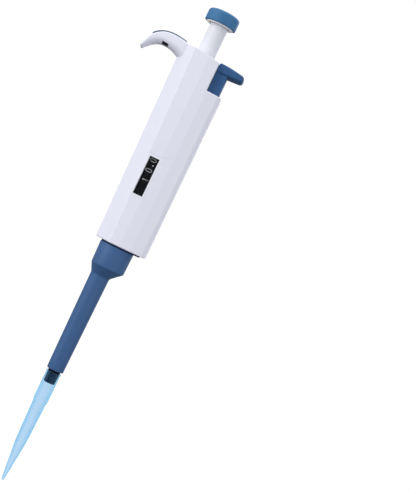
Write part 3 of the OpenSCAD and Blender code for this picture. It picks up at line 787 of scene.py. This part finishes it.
# ---------------------------------------------------------------- tip ejector
def build_ejector_button():
    """A block in the notch with a thumb platform on it, domed underneath and falling away at the top."""
    stem_rings = [[(x, y, z) for x, y in round_corners([(10.42, -7.4), (18.0, -7.4), (18.0, 7.4), (10.42, 7.4)],
                                                       [0.5, 1.0, 1.0, 0.5], 5)] for z in (250, 278)]
    stem = mesh_object("eject_button", *loft(stem_rings))
    crest = cubic([(10.42, 281.25), (15, 281.2), (22, 280.45), (27.45, 279.35)], 24)
    stops = [10.42, 10.47, 10.62, 10.87, 11.2, 11.6] + [12.2 + 1.4 * k for k in range(10)]
    stops += [25.6, 25.95, 26.3, 26.65, 26.95, 27.2, 27.36, 27.45]
    top = [(x, table(x, crest)) for x in stops]
    rings = []
    for x, z1 in top:
        z0 = table(x, [(10.4, 274.45), (18, 274.45), (24, 274.75), (27.5, 275.1)])
        in_top = in_low = 0.0
        for far, r, low in ((x - 10.42, 1.2, 0.1), (27.45 - x, 1.6, 0.8)):
            if far < r:
                turn = r - math.sqrt(max(r * r - (r - far) ** 2, 0))
                in_top += turn
                in_low += turn * low
        hw = table(x, [(10.4, 8.45), (20, 8.45), (23, 8.35), (25.4, 7.8), (26.6, 7.1), (27.5, 6.1)]) - in_low * 0.5
        lo, hi = z0 + in_low, z1 - in_top
        r = min(1.3, 0.4 * (hi - lo))
        belly = min(1.3, 0.25 * (hi - lo))
        low = lo + belly
        flat = round_corners([(-hw, low), (hw, low), (hw, hi), (-hw, hi)], [r * 0.6, r * 0.6, r, r], 5)
        flat[6:6] = [(hw * k / 6, low) for k in range(-4, 5)]
        flat = [(y, z - belly * (1 - (y / hw) ** 2) * max(0.0, 1 - (z - low) / (0.5 * (hi - low)))) for y, z in flat]
        rings.append([(x, y, z) for y, z in flat])
    platform = mesh_object("platform", *loft(rings))
    boolean(stem, platform, "UNION")
    tidy_mesh(stem, 40, 4e-6)
    flat_faces_first(stem)
    piece(stem, EJECTOR, "ejector", "ejector_blue", "ejector_button")


def build_sleeve():
    """Slim tube, offset cone and collar as one thin-walled piece: left and right edges are faired apart."""
    def edges(s, inset):
        bottom = 72.9
        pts = [((5.25 - inset) * s, bottom), ((6.02 - inset) * s, 136.0),
               (2 + (10.5 - inset) * s, 141.75), (2 + (10.86 - inset) * s, 155.38)]
        return round_path(pts, [2.6, 1.0], 8)

    def edge_rings(inset):
        left, right = edges(-1, inset), edges(1, inset)
        mid_l = left[:1] + along(left[:2], 10)[1:-1] + left[1:]
        mid_r = right[:1] + along(right[:2], 10)[1:-1] + right[1:]
        return list(zip(mid_l, mid_r))

    def ring(left, right, seg=96):
        (xl, zl), (xr, zr) = left, right
        c, r = (xl + xr) / 2, (xr - xl) / 2
        out = []
        for k in range(seg):
            a = 2 * math.pi * k / seg
            x = c + r * math.cos(a)
            out.append((x, r * math.sin(a), zl + (zr - zl) * (x - xl) / (xr - xl)))
        return out

    outer = edge_rings(0)
    inner = edge_rings(0.9)
    rings = []
    for inset, d in reversed(edge_turn(0.55, 5)):
        (xl, _), (xr, _) = outer[0]
        rings.append(ring((xl + inset, 72.9 + d), (xr - inset, 72.9 + d)))
    rings += [ring(a, b) for a, b in outer[1:-1]]
    for inset, d in edge_turn(0.35, 4):
        (xl, zl), (xr, zr) = outer[-1]
        rings.append(ring((xl + inset, zl - d), (xr - inset, zr - d)))
    rings += [ring(a, b) for a, b in reversed(inner)]
    sleeve = mesh_object("eject_sleeve", *loft(rings, closed=True), 40)
    piece(sleeve, SLEEVE, "ejector", "ejector_blue", "ejector_sleeve")


build_ejector_button()
build_sleeve()


# ---------------------------------------------------------------- disposable tip
def build_tip():
    """A tapered tip with fine ribs round its collar."""
    ribs = 16
    outside = [(0.36, 0.0), (0.66, 0.0), (0.74, 0.12), (0.98, 1.8), (1.36, 5.2), (1.75, 9), (2.38, 16.2), (3.12, 23.2),
               (3.36, 26.2), (3.45, 28), (3.55, 31), (3.76, 39), (4.0, 48), (4.04, 51.2), (4.12, 51.6), (4.34, 51.9),
               (4.36, 52.3), (4.4, 53.6), (4.4, 69.2), (4.42, 70.4), (4.62, 70.7), (4.75, 70.9), (4.75, 71.5),
               (4.62, 71.66)]
    inside = [(4.1, 71.66), (3.9, 71.3), (3.62, 64), (3.45, 60.6), (3.3, 46), (3.15, 31), (2.7, 23.2), (1.95, 16.2),
              (1.3, 9), (0.5, 1.8)]

    def ribbed(r, z, a):
        share = table(z, [(52.3, 0), (53.6, 1), (69.2, 1), (70.4, 0.4), (70.8, 0)]) if r > 4.3 else 0
        wave = 0.5 + 0.5 * math.cos(ribs * a)
        return r + 0.15 * share * wave

    tip = mesh_object("tip", *revolve(outside + inside, ribs * 12, ribbed), 50)
    piece(tip, TIP, "tip", "tip_blue", "disposable_tip")


build_tip()


# ---------------------------------------------------------------- springs
def build_spring(name, x, z0, z1, r, wire, turns, node):
    """A closed and ground helix: the end turns lie flat against their seats."""
    steps = 28
    n = turns * steps
    pts = []
    for i in range(n + 1):
        f = i / n
        lead = table(f, [(0, 0), (0.9 / turns, 0.02), (1 - 0.9 / turns, 0.98), (1, 1)])
        a = 2 * math.pi * i / steps
        pts.append((x + r * math.cos(a), r * math.sin(a), z0 + wire + (z1 - z0 - 2 * wire) * lead))
    coil = mesh_object(name, *tube_along(pts, wire, 8))
    piece(coil, WIRE, "handle", "steel", node)
    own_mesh(coil)


build_spring("plunger_coil", 0, 138.5, 166, 3.6, 0.4, 9, "return_spring")
build_spring("ejector_coil", 13.7, 225, 250, 2.6, 0.35, 9, "ejector_spring")


# ---------------------------------------------------------------- camera, light and ground
scene = bpy.context.scene
scene.view_settings.view_transform = "Standard"
scene.view_settings.look = "None"

cam_data = bpy.data.cameras.new("camera")
cam = bpy.data.objects.new("camera", cam_data)
scene.collection.objects.link(cam)
cam_data.sensor_width = 36
cam_data.lens = 88.02
cam_data.clip_start = 0.01
roll = math.radians(25.61)
cam.matrix_world = Matrix((
    (math.cos(roll), -math.sin(roll), 0, 0.051),
    (0, 0, -1, -0.725),
    (math.sin(roll), math.cos(roll), 0, 0.1792),
    (0, 0, 0, 1),
))
scene.camera = cam


def area(name, where, at, size, power):
    """A soft light at one point, turned to another."""
    data = bpy.data.lights.new(name, "AREA")
    data.shape = "RECTANGLE"
    data.size, data.size_y = size
    data.energy = power
    light = bpy.data.objects.new(name, data)
    scene.collection.objects.link(light)
    light.location = where
    light.rotation_euler = (Vector(at) - Vector(where)).to_track_quat("-Z", "Y").to_euler()


area("key", (-0.79, -0.49, 0.5), (0, 0, 0.17), (0.6, 0.9), 5.9)
area("fill", (0.67, -0.67, 0.25), (0, 0, 0.17), (1.0, 0.9), 2.65)
area("top", (0.05, 0.25, 0.95), (0, 0, 0.2), (0.6, 0.6), 0.9)
area("back", (0.35, 0.9, 0.5), (0, 0, 0.17), (0.8, 0.9), 2.5)

# soft light that is stronger from above; the camera itself sees plain white
world = bpy.data.worlds.new("studio")
scene.world = world
world.use_nodes = True
wt = world.node_tree
bg = wt.nodes["Background"]
bg.inputs["Color"].default_value = (0.93, 0.95, 1.0, 1)
way = wt.nodes.new("ShaderNodeSeparateXYZ")
wt.links.new(wt.nodes.new("ShaderNodeTexCoord").outputs["Generated"], way.inputs["Vector"])
rise = wt.nodes.new("ShaderNodeMapRange")
for sock, v in (("From Min", -0.7), ("From Max", 0.7), ("To Min", 0.06), ("To Max", 0.94)):
    rise.inputs[sock].default_value = v
wt.links.new(way.outputs["Z"], rise.inputs["Value"])
wt.links.new(rise.outputs["Result"], bg.inputs["Strength"])
seen = wt.nodes.new("ShaderNodeBackground")
seen.inputs["Color"].default_value = (1, 1, 1, 1)
seen.inputs["Strength"].default_value = 1.05
path = wt.nodes.new("ShaderNodeLightPath")
mix = wt.nodes.new("ShaderNodeMixShader")
wt.links.new(path.outputs["Is Camera Ray"], mix.inputs["Fac"])
wt.links.new(bg.outputs["Background"], mix.inputs[1])
wt.links.new(seen.outputs["Background"], mix.inputs[2])
wt.links.new(mix.outputs["Shader"], wt.nodes["World Output"].inputs["Surface"])


def build_floor():
    """A pale round floor under the tip, bright enough to melt into the surroundings, unseen from below."""
    n, radius = 96, 420.0
    ring = [(radius * math.cos(2 * math.pi * k / n), radius * math.sin(2 * math.pi * k / n), -11.0) for k in range(n)]
    floor = mesh_object("floor", ring, [tuple(range(n))])
    if floor.data.polygons[0].normal.z < 0:
        floor.data.flip_normals()
    m = Nodes("floor_pale")
    m.bsdf.inputs["Base Color"].default_value = (0.2, 0.2, 0.21, 1)
    m.bsdf.inputs["Roughness"].default_value = 0.9
    glow = m.node("ShaderNodeEmission", Color=(1, 1, 1, 1), Strength=1.05)
    pick = m.node("ShaderNodeMixShader")
    m.link(m.node("ShaderNodeLightPath").outputs["Is Camera Ray"], pick.inputs["Fac"])
    m.link(m.bsdf.outputs["BSDF"], pick.inputs[1])
    m.link(glow.outputs["Emission"], pick.inputs[2])
    below = m.node("ShaderNodeMixShader")
    m.link(m.node("ShaderNodeNewGeometry").outputs["Backfacing"], below.inputs["Fac"])
    m.link(pick.outputs["Shader"], below.inputs[1])
    m.link(m.node("ShaderNodeBsdfTransparent").outputs["BSDF"], below.inputs[2])
    m.link(below.outputs["Shader"], m.tree.nodes["Material Output"].inputs["Surface"])
    floor.data.materials.append(m.mat)


build_floor()
